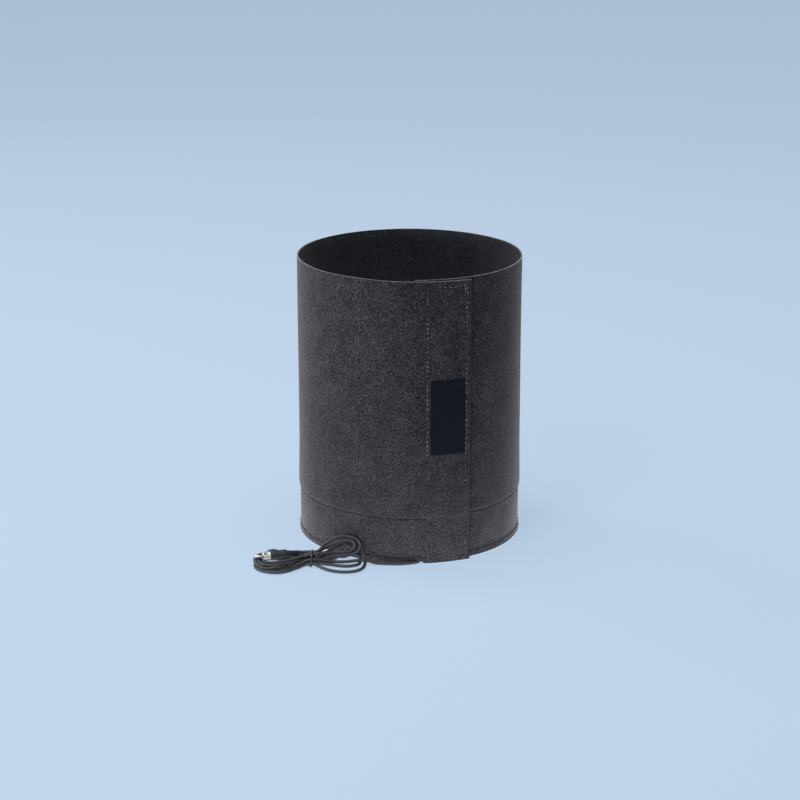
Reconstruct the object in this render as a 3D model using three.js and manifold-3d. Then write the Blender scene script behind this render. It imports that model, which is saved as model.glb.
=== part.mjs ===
// Heated dew shield: one stiff sheet rolled into a tube that overlaps itself at the front, where a
// hook-and-loop strip closes it. A heater lies in a pocket sewn round the foot of the tube, and its
// lead ends in a hank with a phono plug. Millimetres, +Z up, origin at the centre of the tube's foot.
// Azimuth 0 is the front (-Y) and grows towards the right (+X).
import * as THREE from 'three';
import { mergeVertices } from 'three/addons/utils/BufferGeometryUtils.js';
import Module from 'manifold-3d';

const wasm = await Module();
wasm.setup();

// Rolled sheet
const shieldHeight = 305;
const sheetRadius = 119.6;
const sheetThickness = 1.3;
const cutEdgeChamfer = 0.35;
const rollGrowthPerTurn = 0.8;
const rollCentreY = 0.9;
const innerEndAzimuth = 2.6;
const overlapAngle = 27.6;
const innerEndTuck = 0.6;
const innerEndTuckSpan = 30;
const joggleSpan = 40;
const flapEdgeLift = 1.0;
const flapLiftSpan = 7;
const flapTopDrop = 1.2;
const flapTopDropSpan = 60;

// Foot of the sheet: flared hem, band drawn in by the two seams, soft bulge above the band
const hemFlare = 0.7;
const hemHeight = 5;
const bandInset = 0.5;
const bandBulge = 0.9;
const bandBulgeReach = 50;
const hemSeamHeight = 5.75;
const pocketSeamHeight = 49.5;
const seamGrooveWidth = 1.8;
const hemGrooveDepth = 0.3;
const pocketGrooveDepth = 0.6;

// Layers bonded or sewn to the sheet, and the clearance that each keeps to its neighbour
const seatGap = 0.3;
const liningThickness = 0.6;
const liningSetback = 1.5;
const closureWidth = 50.8;
const hookThickness = 0.8;
const loopThickness = 0.7;
const closureEndInset = 3;
const hookEdgeInset = 0.8;
const loopEdgeInset = 3;
const labelWidth = 38;
const labelHeight = 80;
const labelThickness = 0.4;
const labelAzimuth = 18.8;
const labelCentreHeight = 159.3;

// Heater in its pocket
const pocketThickness = 0.6;
const pocketDepth = 2.2;
const leadEntrySwell = 2.2;
const leadEntrySwellAngle = 17;
const pocketFoot = 3;
const pocketMargin = 6;
const pocketShoulder = 5;
const pocketTopMargin = 3;
const pocketEndInset = 2;
const pocketCloseSpan = 2.4;
const heaterTapeWidth = 25;
const heaterTapeThickness = 0.5;
const heaterWireDiameter = 0.8;
const heaterWireSpacing = 13;
const heaterCentreHeight = 27;
const heaterStartAngle = 16;
const heaterEndAngle = 344;
const spliceDiameter = 2.6;
const spliceLength = 8;
const coreDiameter = 1.3;
const coreSpacing = 1.7;

// Lead, hank and tie
const leadDiameter = 3.5;
const leadEntryAzimuth = 7;
const leadEntryHeight = 16;
const leadPassageClearance = 0.4;
const hankBaseHeight = 3.6;
const hankTopHeight = 9;
const hankStandThickness = 7;
const hankStandAzimuth = -35;
const tieWire = 1.3;
const tieX = -104;

// Phono plug
const plugTail = new THREE.Vector3(-114.4, -111.3, 8.4);
const plugHeadingDegrees = 197.5;
const gripDiameter = 9.2;
const gripSegmentLength = 8.7;
const gripGroove = 0.7;
const gripGrooveDepth = 0.5;
const gripNeckLength = 4;
const gripNeckDiameter = 6.6;
const gripRound = 0.7;
const bootLength = 10.2;
const bootBigDiameter = 5.8;
const bootSmallDiameter = 4.4;
const bootRibs = 5;
const bootRibDepth = 0.45;
const groundShellDiameter = 8.4;
const groundShellWall = 0.5;
const groundShellReach = 8;
const groundShellSeat = 2.4;
const groundShellSlots = 4;
const groundShellSlotWidth = 0.9;
const groundShellSlotDepth = 6;
const groundShellLip = 0.25;
const insulatorLength = 3;
const pinDiameter = 3.2;
const pinReach = 8.2;

// Facets
const rollStep = 5.5;
const leadSides = 8;
const wireSides = 6;
const wireSteps = 110;
const turnedSides = 20;

// Finishes
const sheetFinish = { color: 0x3a393e, roughness: 0.85, metalness: 0 };
const liningFinish = { color: 0x17171c, roughness: 0.98, metalness: 0 };
const pocketFinish = { color: 0x1d1d22, roughness: 0.95, metalness: 0 };
const closureFinish = { color: 0x141416, roughness: 0.95, metalness: 0 };
const labelFinish = { color: 0x0c0d16, roughness: 0.55, metalness: 0 };
const heaterTapeFinish = { color: 0xb08f4a, roughness: 0.5, metalness: 0 };
const heaterWireFinish = { color: 0x9a948c, roughness: 0.4, metalness: 0.9 };
const coreFinish = { color: 0x9c1f1a, roughness: 0.5, metalness: 0 };
const spliceFinish = { color: 0xc7c3bb, roughness: 0.35, metalness: 0.9 };
const cordFinish = { color: 0x1b1b1d, roughness: 0.4, metalness: 0 };
const gripFinish = { color: 0x18181a, roughness: 0.45, metalness: 0 };
const plugMetalFinish = { color: 0xd8c9b0, roughness: 0.25, metalness: 1 };
const insulatorFinish = { color: 0xe6e3dc, roughness: 0.5, metalness: 0 };

// Small helpers
const radians = THREE.MathUtils.degToRad;
const degreesFor = (arc, radius) => THREE.MathUtils.radToDeg(arc / radius);
const smooth = THREE.MathUtils.smoothstep;
const dew_shield = new THREE.Group();

function addPiece(name, geometry, finish) {
  const mesh = new THREE.Mesh(geometry, new THREE.MeshStandardMaterial(finish));
  mesh.name = name;
  dew_shield.add(mesh);
  return mesh;
}

// A copy with shared corners, no flat faces and the faces pointing out
function closed(geometry) {
  const bare = geometry.clone();
  for (const attribute of Object.keys(bare.attributes)) {
    if (attribute !== 'position') {
      bare.deleteAttribute(attribute);
    }
  }
  bare.clearGroups();
  const welded = mergeVertices(bare, 1e-4);
  const corners = [...welded.index.array];
  const kept = [];
  let volume = 0;
  const point = (i) => new THREE.Vector3().fromBufferAttribute(welded.attributes.position, i);
  for (let i = 0; i < corners.length; i += 3) {
    const [a, b, c] = corners.slice(i, i + 3);
    if (a !== b && b !== c && c !== a) {
      kept.push(a, b, c);
      volume += point(a).dot(point(b).cross(point(c)));
    }
  }
  if (volume < 0) {
    kept.reverse();
  }
  welded.setIndex(kept);
  return welded;
}

function toSolid(geometry) {
  const shape = closed(geometry);
  return new wasm.Manifold(new wasm.Mesh({
    numProp: 3,
    vertProperties: new Float32Array(shape.attributes.position.array),
    triVerts: new Uint32Array(shape.index.array),
  }));
}

function toGeometry(solid) {
  const mesh = solid.getMesh();
  const geometry = new THREE.BufferGeometry();
  geometry.setAttribute('position', new THREE.BufferAttribute(mesh.vertProperties, 3));
  geometry.setIndex(new THREE.BufferAttribute(mesh.triVerts, 1));
  return geometry;
}

function cut(geometry, tool) {
  return toGeometry(toSolid(geometry).subtract(toSolid(tool)));
}

function join(first, ...others) {
  return toGeometry(others.reduce((sum, next) => sum.add(toSolid(next)), toSolid(first)));
}

function circle(radius, sides) {
  const shape = new THREE.Shape();
  for (let i = 0; i < sides; i++) {
    const turn = (2 * Math.PI * i) / sides;
    shape[i ? 'lineTo' : 'moveTo'](radius * Math.cos(turn), radius * Math.sin(turn));
  }
  shape.closePath();
  return shape;
}

function tube(path, diameter, sides, steps) {
  return closed(new THREE.ExtrudeGeometry(circle(diameter / 2, sides), {
    extrudePath: path,
    steps,
    bevelEnabled: false,
  }));
}

// The roll. Angles along it start at the inner end and run to the flap's free edge.
const rollEnd = 360 + overlapAngle;
const closureStep = sheetThickness + liningThickness + hookThickness + loopThickness + 4 * seatGap;

function innerLayerRadius(angle) {
  const tuck = innerEndTuck * (1 - smooth(angle, 0, innerEndTuckSpan));
  return sheetRadius - tuck + (rollGrowthPerTurn * angle) / 360;
}

// Radius of the sheet's outer face, before the shape of the foot
function rollRadius(angle) {
  const single = innerLayerRadius(angle);
  const doubled = innerLayerRadius(angle - 360) + closureStep;
  const joggle = smooth(angle, 360 - joggleSpan, 360);
  const lift = flapEdgeLift * smooth(angle, rollEnd - flapLiftSpan, rollEnd);
  return THREE.MathUtils.lerp(single, doubled, joggle) + lift;
}

function topHeight(angle) {
  return shieldHeight - flapTopDrop * smooth(angle, rollEnd - flapTopDropSpan, rollEnd);
}

// How far the foot stands out at each height: straight lines between these places
const bandFoot = hemHeight + 3.5;
const bandTop = pocketSeamHeight - 3;
const bulgeFoot = pocketSeamHeight + 4.5;
const footShape = [
  [0, hemFlare],
  [hemHeight, 0],
  [bandFoot, -bandInset],
  [bandTop, -bandInset],
  [bulgeFoot, bandBulge],
  [bulgeFoot + 0.3 * bandBulgeReach, 0.75 * bandBulge],
  [bulgeFoot + bandBulgeReach, 0],
];

function footOffset(height) {
  for (let i = 1; i < footShape.length; i++) {
    const [low, from] = footShape[i - 1];
    const [high, to] = footShape[i];
    if (height < high) {
      return THREE.MathUtils.mapLinear(height, low, high, from, to);
    }
  }
  return 0;
}

// A section point: its depth below the sheet's outer face, and its height
function layerPoint(angle, depth, height) {
  return [rollRadius(angle) + footOffset(height) - depth, height];
}

function inSpace(angle, [radius, height]) {
  const azimuth = radians(innerEndAzimuth + angle);
  return new THREE.Vector3(
    radius * Math.sin(azimuth),
    rollCentreY - radius * Math.cos(azimuth),
    height,
  );
}

function anglesBetween(from, to) {
  const inner = [];
  for (let angle = rollStep; angle < rollEnd; angle += rollStep) {
    if (angle > from + 0.4 && angle < to - 0.4) {
      inner.push(angle);
    }
  }
  return [from, ...inner, to];
}

// A section carried round the roll, with a flat end at each end. It has an outer and an inner
// chain of points, both from the foot up.
function loftRound(angles, section) {
  const sections = angles.map((angle) => section(angle));
  const count = sections[0].outer.length + sections[0].inner.length;
  const positions = sections.flatMap(({ outer, inner }, i) => (
    [...outer, ...inner.toReversed()].flatMap((p) => inSpace(angles[i], p).toArray())
  ));
  const faces = [];
  for (let i = 0; i + 1 < sections.length; i++) {
    for (let j = 0; j < count; j++) {
      const a = i * count + j;
      const b = i * count + ((j + 1) % count);
      faces.push(a, a + count, b, b, a + count, b + count);
    }
  }
  for (const i of [0, sections.length - 1]) {
    const { outer, inner } = sections[i];
    let [o, n] = [0, 0];
    while (o + 1 < outer.length || n + 1 < inner.length) {
      const upOuter = n + 1 === inner.length
        || (o + 1 < outer.length && outer[o + 1][1] <= inner[n + 1][1]);
      const next = upOuter ? o + 1 : count - 2 - n;
      const corners = [o, next, count - 1 - n].map((k) => i * count + k);
      faces.push(...(i ? corners.toReversed() : corners));
      if (upOuter) {
        o += 1;
      } else {
        n += 1;
      }
    }
  }
  const geometry = new THREE.BufferGeometry();
  geometry.setAttribute('position', new THREE.Float32BufferAttribute(positions, 3));
  geometry.setIndex(faces);
  return closed(geometry);
}

// A plain strip of one thickness between two heights, following the foot's shape
function stripSection(angle, depth, thickness, low, high) {
  const between = footShape.map(([height]) => height).filter((h) => h > low + 0.5 && h < high - 0.5);
  const heights = [low, ...between, high];
  return {
    outer: heights.map((height) => layerPoint(angle, depth, height)),
    inner: heights.map((height) => layerPoint(angle, depth + thickness, height)),
  };
}

// Depths of the layers below the sheet's outer face
const liningDepth = sheetThickness + seatGap;
const linedDepth = liningDepth + liningThickness;
const sewnDepth = linedDepth + seatGap;

// The lead's way out of the pocket, under both layers of the sheet and along the tube's foot
const leadRadius = leadDiameter / 2;
const entryAngle = leadEntryAzimuth - innerEndAzimuth;
const entryDepth = sewnDepth + (pocketDepth + leadEntrySwell) / 2;
const entryRadius = rollRadius(entryAngle) - bandInset - entryDepth;

function polar(azimuth, radius, height) {
  return inSpace(azimuth - innerEndAzimuth, [radius, height]);
}

const leadRoute = [
  polar(leadEntryAzimuth, entryRadius, leadEntryHeight),
  polar(leadEntryAzimuth, entryRadius, leadEntryHeight - 5),
  polar(leadEntryAzimuth - 0.2, entryRadius + 0.9, 6.2),
  polar(leadEntryAzimuth - 0.9, entryRadius + 3.2, 3),
  polar(leadEntryAzimuth - 1.9, entryRadius + 6.3, leadRadius + 0.1),
  polar(leadEntryAzimuth - 3.2, entryRadius + 9.3, leadRadius + 0.05),
  polar(leadEntryAzimuth - 5, entryRadius + 11.3, leadRadius + 0.05),
  new THREE.Vector3(-3, -126.6, leadRadius + 0.05),
  new THREE.Vector3(-12, -127.9, leadRadius + 0.05),
  new THREE.Vector3(-21, -127.8, leadRadius + 0.05),
  new THREE.Vector3(-32, -125.8, leadRadius + 0.05),
  new THREE.Vector3(-43.6, -122.1, leadRadius + 0.05),
];
const leadPath = new THREE.CatmullRomCurve3(leadRoute, false, 'centripetal');
const leadPassage = tube(
  new THREE.CatmullRomCurve3(leadRoute.slice(0, 9), false, 'centripetal'),
  leadDiameter + 2 * leadPassageClearance,
  leadSides,
  24,
);

// The sheet
function sheetSection(angle) {
  const top = topHeight(angle);
  const half = seamGrooveWidth / 2;
  const sewnPart = 1 - smooth(angle, 360, 363);
  const groove = (height, depth) => [
    layerPoint(angle, 0, height - half),
    layerPoint(angle, depth, height),
    layerPoint(angle, 0, height + half),
  ];
  const upperFoot = footShape.slice(4).map(([height]) => height);
  const outer = [
    layerPoint(angle, cutEdgeChamfer, 0),
    layerPoint(angle, 0, cutEdgeChamfer),
    ...groove(hemSeamHeight, hemGrooveDepth),
    layerPoint(angle, 0, bandFoot),
    layerPoint(angle, 0, bandTop),
    ...groove(pocketSeamHeight, pocketGrooveDepth * sewnPart),
    ...upperFoot.map((height) => layerPoint(angle, 0, height)),
    layerPoint(angle, 0, top - cutEdgeChamfer),
    layerPoint(angle, cutEdgeChamfer, top),
  ];
  const inner = [
    ...footShape.map(([height]) => layerPoint(angle, sheetThickness, height)),
    layerPoint(angle, sheetThickness, top),
  ];
  return { outer, inner };
}
const sheet = loftRound(anglesBetween(0, rollEnd), sheetSection);
addPiece('shell_sheet', cut(sheet, leadPassage), sheetFinish);

// The felt lining stops short of every cut edge of the sheet
const liningEndInset = degreesFor(liningSetback, sheetRadius);
const lining = loftRound(
  anglesBetween(liningEndInset, rollEnd - liningEndInset),
  (angle) => stripSection(
    angle, liningDepth, liningThickness, liningSetback, topHeight(angle) - liningSetback,
  ),
);
addPiece('felt_lining', cut(lining, leadPassage), liningFinish);

// Hook strip inside the flap and loop strip on the end that lies under it
function closureStrip(from, width, depth, thickness) {
  const to = from + degreesFor(width, rollRadius(from));
  return loftRound(anglesBetween(from, to), (angle) => stripSection(
    angle, depth, thickness, closureEndInset, topHeight(angle) - closureEndInset,
  ));
}
const hookEnd = rollEnd - liningEndInset - degreesFor(hookEdgeInset, sheetRadius);
const hookStart = hookEnd - degreesFor(closureWidth, rollRadius(hookEnd));
const hookStrip = closureStrip(hookStart, closureWidth, sewnDepth, hookThickness);
addPiece('hook_strip', cut(hookStrip, leadPassage), closureFinish);
const loopStart = degreesFor(loopEdgeInset, sheetRadius);
const loopStrip = closureStrip(loopStart, closureWidth, -seatGap - loopThickness, loopThickness);
addPiece('loop_strip', cut(loopStrip, leadPassage), closureFinish);

// Bare woven label on the flap
const labelAngle = 360 + labelAzimuth - innerEndAzimuth;
const labelHalfAngle = degreesFor(labelWidth / 2, rollRadius(labelAngle));
const label = loftRound(
  anglesBetween(labelAngle - labelHalfAngle, labelAngle + labelHalfAngle),
  (angle) => stripSection(
    angle,
    -seatGap - labelThickness,
    labelThickness,
    labelCentreHeight - labelHeight / 2,
    labelCentreHeight + labelHeight / 2,
  ),
);
addPiece('label', label, labelFinish);

// The pocket: sewn flat along both seams, standing off between them, closed at both ends
const pocketTop = pocketSeamHeight + pocketTopMargin;
const pocketStart = degreesFor(pocketEndInset, sheetRadius);
const pocketEnd = hookStart - degreesFor(seatGap, sheetRadius);
const pocketFlatFrom = 360 - joggleSpan / 4;

function pocketSection(angle) {
  const opening = smooth(angle, pocketStart, pocketStart + pocketCloseSpan)
    * (1 - smooth(angle, pocketFlatFrom - 3 * pocketCloseSpan, pocketFlatFrom));
  const swell = leadEntrySwell * (1 - smooth(angle, leadEntrySwellAngle, leadEntrySwellAngle + 4));
  const stand = (pocketDepth + swell) * opening;
  const outline = [
    [pocketFoot, 0],
    [pocketFoot + pocketMargin, 0],
    [pocketFoot + pocketMargin + pocketShoulder, stand],
    [pocketSeamHeight - 3 - pocketShoulder, stand],
    [pocketSeamHeight - 3, 0],
    [pocketTop, 0],
  ];
  const face = (depth) => outline.map(([height, out]) => layerPoint(angle, depth + out, height));
  return { outer: face(sewnDepth), inner: face(sewnDepth + pocketThickness) };
}
const pocket = loftRound(anglesBetween(pocketStart, pocketEnd), pocketSection);
addPiece('heater_pocket', cut(pocket, leadPassage), pocketFinish);

// Heater: a flat carrier tape and one resistance wire that runs out along it and back
const tapeFoot = heaterCentreHeight - heaterTapeWidth / 2;
const tapeTop = heaterCentreHeight + heaterTapeWidth / 2;
const heaterTape = loftRound(anglesBetween(heaterStartAngle, heaterEndAngle), (angle) => (
  stripSection(angle, sewnDepth, heaterTapeThickness, tapeFoot, tapeTop)
));
addPiece('heater_tape', heaterTape, heaterTapeFinish);

const wireDepth = sewnDepth + heaterTapeThickness + seatGap + heaterWireDiameter / 2;
const wireLow = heaterCentreHeight - heaterWireSpacing / 2;
const wireHigh = heaterCentreHeight + heaterWireSpacing / 2;
const wireTurnAngle = heaterEndAngle - degreesFor(heaterWireSpacing, sheetRadius);

function onWireLayer(angle, height) {
  return inSpace(angle, layerPoint(angle, wireDepth, height));
}
const wireRun = anglesBetween(heaterStartAngle, wireTurnAngle);
const wireRoute = [
  ...wireRun.map((angle) => onWireLayer(angle, wireLow)),
  onWireLayer(wireTurnAngle + degreesFor(heaterWireSpacing * 0.35, sheetRadius), wireLow + 1.9),
  onWireLayer(wireTurnAngle + degreesFor(heaterWireSpacing * 0.5, sheetRadius), heaterCentreHeight),
  onWireLayer(wireTurnAngle + degreesFor(heaterWireSpacing * 0.35, sheetRadius), wireHigh - 1.9),
  ...wireRun.toReversed().map((angle) => onWireLayer(angle, wireHigh)),
];
const wirePath = new THREE.CatmullRomCurve3(wireRoute, false, 'centripetal');
addPiece(
  'heater_wire',
  tube(wirePath, heaterWireDiameter, wireSides, wireSteps),
  heaterWireFinish,
);

// Crimp sleeves between the wire's ends and the two cores of the lead
const spliceEnd = heaterStartAngle - degreesFor(seatGap, sheetRadius);
const spliceStart = spliceEnd - degreesFor(spliceLength, sheetRadius);
const jacketEnd = polar(leadEntryAzimuth, entryRadius, leadEntryHeight + seatGap);
[wireLow, wireHigh].forEach((height, i) => {
  const from = onWireLayer(spliceStart, height);
  const to = onWireLayer(spliceEnd, height);
  const sleeve = tube(new THREE.LineCurve3(from, to), spliceDiameter, 2 * wireSides, 1);
  addPiece(`splice_sleeve_${i + 1}`, sleeve, spliceFinish);
  const along = to.clone().sub(from).normalize();
  const sideways = (i ? -1 : 1) * (coreSpacing / 2);
  const start = jacketEnd.clone().addScaledVector(along, sideways);
  const end = from.clone().addScaledVector(along, -seatGap);
  const core = new THREE.CatmullRomCurve3([
    start,
    start.clone().add(new THREE.Vector3(0, 0, i ? 7 : 1.6)),
    end.clone().addScaledVector(along, i ? -4 : -3).setZ(height - (i ? 2.6 : 0.5)),
    end,
  ], false, 'centripetal');
  addPiece(`lead_core_${i + 1}`, tube(core, coreDiameter, wireSides, 8), coreFinish);
});

// The lead from the pocket to the hank
addPiece('cord_lead', tube(leadPath, leadDiameter, leadSides, 30), cordFinish);

// The hank's outer shape: a flat coil of folded turns, a raised heap beside the plug and round
// the tie, and the turns that stand up against the tube
function rounded(points, height) {
  const outline = new THREE.CatmullRomCurve3(
    points.map(([x, y]) => new THREE.Vector3(x, y, 0)), true, 'centripetal',
  );
  const shape = new THREE.Shape(outline.getSpacedPoints(40).slice(0, 40));
  return new THREE.ExtrudeGeometry(shape, { depth: height, bevelEnabled: false });
}
const plugHeading = new THREE.Vector3(
  Math.cos(radians(plugHeadingDegrees)),
  Math.sin(radians(plugHeadingDegrees)),
  0,
);
const flatTurns = rounded([
  [-112, -98], [-135, -97], [-156, -99], [-165, -113], [-164, -132], [-156, -147], [-139, -154.5],
  [-120, -146], [-104, -134], [-86, -146], [-66, -155], [-50, -146], [-44, -130], [-46, -118],
  [-60, -110], [-82, -103], [-98, -98],
], hankBaseHeight);
const raisedTurns = rounded([
  [-108, -118], [-132, -126], [-157, -137], [-158, -146], [-139, -152], [-120, -143.5],
  [-104, -132], [-88, -138], [-70, -142], [-58, -134], [-60, -120], [-76, -108], [-98, -100],
  [-106, -104],
], hankTopHeight);
const standing = rounded([
  [-25, 1.4], [-22, 9], [-10, 20], [4, 25], [17, 21], [25, 12], [26, 1.4], [14, 0.6], [-12, 0.6],
], hankStandThickness);
standing.rotateX(Math.PI / 2);
standing.rotateZ(radians(hankStandAzimuth));
const standAngle = 360 + hankStandAzimuth - innerEndAzimuth;
const standFace = inSpace(standAngle, layerPoint(standAngle, -seatGap, 0));
standing.translate(standFace.x, standFace.y, 0);
const hank = join(flatTurns, raisedTurns, standing);

// The tie: a twisted wire closed round the waist of the hank, which it draws in
const tieLow = tieWire + 2 * seatGap;
const tieHigh = hankTopHeight - 1;
const tieFront = -132;
const tieBack = -101;

function tieFrame(grow, thickness) {
  const shape = new THREE.Shape();
  const round = 2.4 + grow;
  const [left, right] = [tieFront - grow, tieBack + grow];
  const [low, high] = [tieLow - grow, tieHigh + grow];
  shape.moveTo(left + round, low);
  shape.lineTo(right - round, low);
  shape.absarc(right - round, low + round, round, -Math.PI / 2, 0);
  shape.absarc(right - round, high - round, round, 0, Math.PI / 2);
  shape.absarc(left + round, high - round, round, Math.PI / 2, Math.PI);
  shape.absarc(left + round, low + round, round, Math.PI, 1.5 * Math.PI);
  const slab = new THREE.ExtrudeGeometry(shape, {
    depth: thickness, bevelEnabled: false, curveSegments: 5,
  });
  slab.translate(0, 0, -thickness / 2);
  slab.rotateY(Math.PI / 2);
  slab.rotateX(Math.PI / 2);
  slab.translate(tieX, 0, 0);
  return slab;
}
const grooveWidth = tieWire + 2 * seatGap;
const grooveOuter = new THREE.BoxGeometry(grooveWidth, 80, 40);
grooveOuter.translate(tieX, (tieFront + tieBack) / 2, 0);
const groove = cut(grooveOuter, tieFrame(0, 2 * grooveWidth));
addPiece('cord_hank', cut(hank, groove), cordFinish);

const tieRing = cut(tieFrame(seatGap + tieWire, tieWire), tieFrame(seatGap, 2 * tieWire));
const tieTail = new THREE.CylinderGeometry(tieWire * 0.7, tieWire * 0.7, 5, wireSides + 2);
tieTail.translate(tieX, tieFront - seatGap - tieWire - 2, tieLow);
addPiece('cord_tie', join(tieRing, tieTail), gripFinish);

// The plug, turned about its own axis: +X towards the pin, 0 at the boot's tail
const plug = new THREE.Group();
plug.position.copy(plugTail);
plug.rotation.z = radians(plugHeadingDegrees);
dew_shield.add(plug);

function addTurned(name, profile, finish, slots) {
  const points = profile.map(([along, radius]) => new THREE.Vector2(radius, along));
  const turned = new THREE.LatheGeometry([...points, points[0]], turnedSides);
  turned.rotateZ(-Math.PI / 2);
  const body = slots ? cut(turned, slots) : closed(turned);
  const mesh = addPiece(name, body, finish);
  plug.add(mesh);
}

const gripStart = bootLength;
const neckEnd = gripStart + gripNeckLength;
const gripMiddle = neckEnd + gripSegmentLength;
const gripEnd = gripMiddle + gripGroove + gripSegmentLength;
const grip = gripDiameter / 2;
const shellOuter = groundShellDiameter / 2;
const shellInner = shellOuter - groundShellWall;
const pinRadius = pinDiameter / 2;
const seatDepth = groundShellSeat + seatGap;

// Ribbed boot over the lead
const ribPitch = bootLength / bootRibs;
const bootOuter = [];
for (let i = 0; i < bootRibs; i++) {
  const along = i * ribPitch;
  const radius = THREE.MathUtils.lerp(bootSmallDiameter, bootBigDiameter, i / (bootRibs - 1)) / 2;
  bootOuter.push(
    [along, radius - bootRibDepth],
    [along + 0.35 * ribPitch, radius - bootRibDepth],
    [along + 0.45 * ribPitch, radius],
    [along + 0.95 * ribPitch, radius],
  );
}
bootOuter.push([bootLength - seatGap, bootBigDiameter / 2]);
addTurned('plug_boot', [[0, 0], ...bootOuter, [bootLength - seatGap, 0]], gripFinish);

// Moulded grip in two segments, with a seat for the ground shell and the insulator in its face
addTurned('plug_grip', [
  [gripStart, 0],
  [gripStart, bootBigDiameter / 2],
  [gripStart + gripNeckLength / 2, gripNeckDiameter / 2],
  [neckEnd, gripNeckDiameter / 2],
  [neckEnd, grip - gripRound],
  [neckEnd + gripRound, grip],
  [gripMiddle - gripRound / 2, grip],
  [gripMiddle, grip - gripGrooveDepth],
  [gripMiddle + gripGroove, grip - gripGrooveDepth],
  [gripMiddle + gripGroove + gripRound / 2, grip],
  [gripEnd - gripRound, grip],
  [gripEnd, grip - gripRound],
  [gripEnd, shellOuter + seatGap - 0.1],
  [gripEnd - seatDepth, shellOuter + seatGap - 0.1],
  [gripEnd - seatDepth, 0],
], gripFinish);

// Ground shell: a thin tube with a rolled lip, slotted from its mouth
const shellTail = gripEnd - groundShellSeat;
const shellMouth = gripEnd + groundShellReach;
const slotBoxes = [];
for (let i = 0; i < groundShellSlots / 2; i++) {
  const box = new THREE.BoxGeometry(
    2 * groundShellSlotDepth, groundShellSlotWidth, 2 * groundShellDiameter,
  );
  box.translate(shellMouth, 0, 0);
  box.rotateX((2 * Math.PI * (i + 0.5)) / groundShellSlots);
  slotBoxes.push(box);
}
addTurned('plug_ground_shell', [
  [shellTail, shellInner],
  [shellTail, shellOuter],
  [shellMouth - 1.6, shellOuter - 0.1],
  [shellMouth - 0.9, shellOuter + groundShellLip],
  [shellMouth, shellOuter],
  [shellMouth, shellInner],
], plugMetalFinish, join(...slotBoxes));

// Insulator disc inside the shell, round the pin
addTurned('plug_insulator', [
  [shellTail, pinRadius + seatGap],
  [shellTail, shellInner - seatGap],
  [shellTail + insulatorLength, shellInner - seatGap],
  [shellTail + insulatorLength, pinRadius + seatGap],
], insulatorFinish);

// Centre pin with a round nose
const noseTurns = 4;
const nose = [];
for (let i = 0; i <= noseTurns; i++) {
  const turn = (Math.PI / 2) * (i / noseTurns);
  nose.push([
    shellMouth + pinReach - pinRadius + pinRadius * Math.sin(turn),
    pinRadius * Math.cos(turn),
  ]);
}
addTurned('plug_pin', [[shellTail, 0], [shellTail, pinRadius], ...nose], plugMetalFinish);

export default dew_shield;
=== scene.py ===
"""Heated dew shield: a speckled sheet rolled into a tube and closed at the front by a sewn flap,
with a heater pocket round its foot and a hanked lead. Its pieces lie round the same roll as the
solids do."""
import math

import bmesh
import bpy
from mathutils import Matrix, Vector


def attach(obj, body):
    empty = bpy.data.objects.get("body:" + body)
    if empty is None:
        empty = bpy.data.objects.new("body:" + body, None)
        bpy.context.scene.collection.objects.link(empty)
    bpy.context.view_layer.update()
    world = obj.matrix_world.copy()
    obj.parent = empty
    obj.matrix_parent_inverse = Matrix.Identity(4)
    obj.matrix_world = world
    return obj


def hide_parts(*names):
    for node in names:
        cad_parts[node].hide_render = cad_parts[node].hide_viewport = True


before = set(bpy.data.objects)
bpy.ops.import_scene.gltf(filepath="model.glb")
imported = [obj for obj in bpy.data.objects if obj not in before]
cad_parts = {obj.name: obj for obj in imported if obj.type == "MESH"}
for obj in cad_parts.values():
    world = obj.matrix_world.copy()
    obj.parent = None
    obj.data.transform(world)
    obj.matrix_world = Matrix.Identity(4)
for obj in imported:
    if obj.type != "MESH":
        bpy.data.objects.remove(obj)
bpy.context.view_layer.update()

MM = 0.001
scene = bpy.context.scene

# Camera, at the photograph's angle
camera_data = bpy.data.cameras.new("camera")
camera_data.lens = 96.665
camera_data.sensor_width = 36
camera = bpy.data.objects.new("camera", camera_data)
camera.location = (0, -2.2284, 0.8327)
camera.rotation_euler = (math.radians(90 - 17.222), 0, math.radians(0.2702))
scene.collection.objects.link(camera)
scene.camera = camera
scene.view_settings.view_transform = "Standard"

# Sizes of the roll, in millimetres and degrees
SHIELD_HEIGHT = 305
SHEET_RADIUS = 119.6
SHEET_THICKNESS = 1.3
GROWTH_PER_TURN = 0.8
ROLL_CENTRE_Y = 0.9
INNER_END_AZIMUTH = 2.6
ROLL_END = 387.6
CLOSURE_STEP = 4.6
JOGGLE_START = 320
JOGGLE_END = 360
LIFTED_EDGE = 7
FOOT_SHAPE = [(0, 0.7), (5, 0), (8.5, -0.5), (46.5, -0.5), (54, 0.9), (69, 0.675), (104, 0)]
HEM_SEAM = 5.75
POCKET_SEAM = 49.5
SEWN_DEPTH = 2.5


def smooth(value, low, high):
    t = min(max((value - low) / (high - low), 0), 1)
    return t * t * (3 - 2 * t)


def inner_layer(angle):
    return SHEET_RADIUS - 0.6 * (1 - smooth(angle, 0, 30)) + GROWTH_PER_TURN * angle / 360


def roll_radius(angle):
    joggle = smooth(angle, JOGGLE_START, JOGGLE_END)
    doubled = inner_layer(angle - 360) + CLOSURE_STEP
    lift = smooth(angle, ROLL_END - LIFTED_EDGE, ROLL_END)
    return inner_layer(angle) * (1 - joggle) + doubled * joggle + lift


def foot_offset(height):
    for (low, a), (high, b) in zip(FOOT_SHAPE, FOOT_SHAPE[1:]):
        if height < high:
            return a + (b - a) * smooth(height, low, high)
    return 0


def seam_groove(height, seam, depth):
    """The sheet is drawn in along a seam, over 0.95 mm on each side of it."""
    return depth * max(0, 1 - abs(height - seam) / 0.95) ** 0.8


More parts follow.
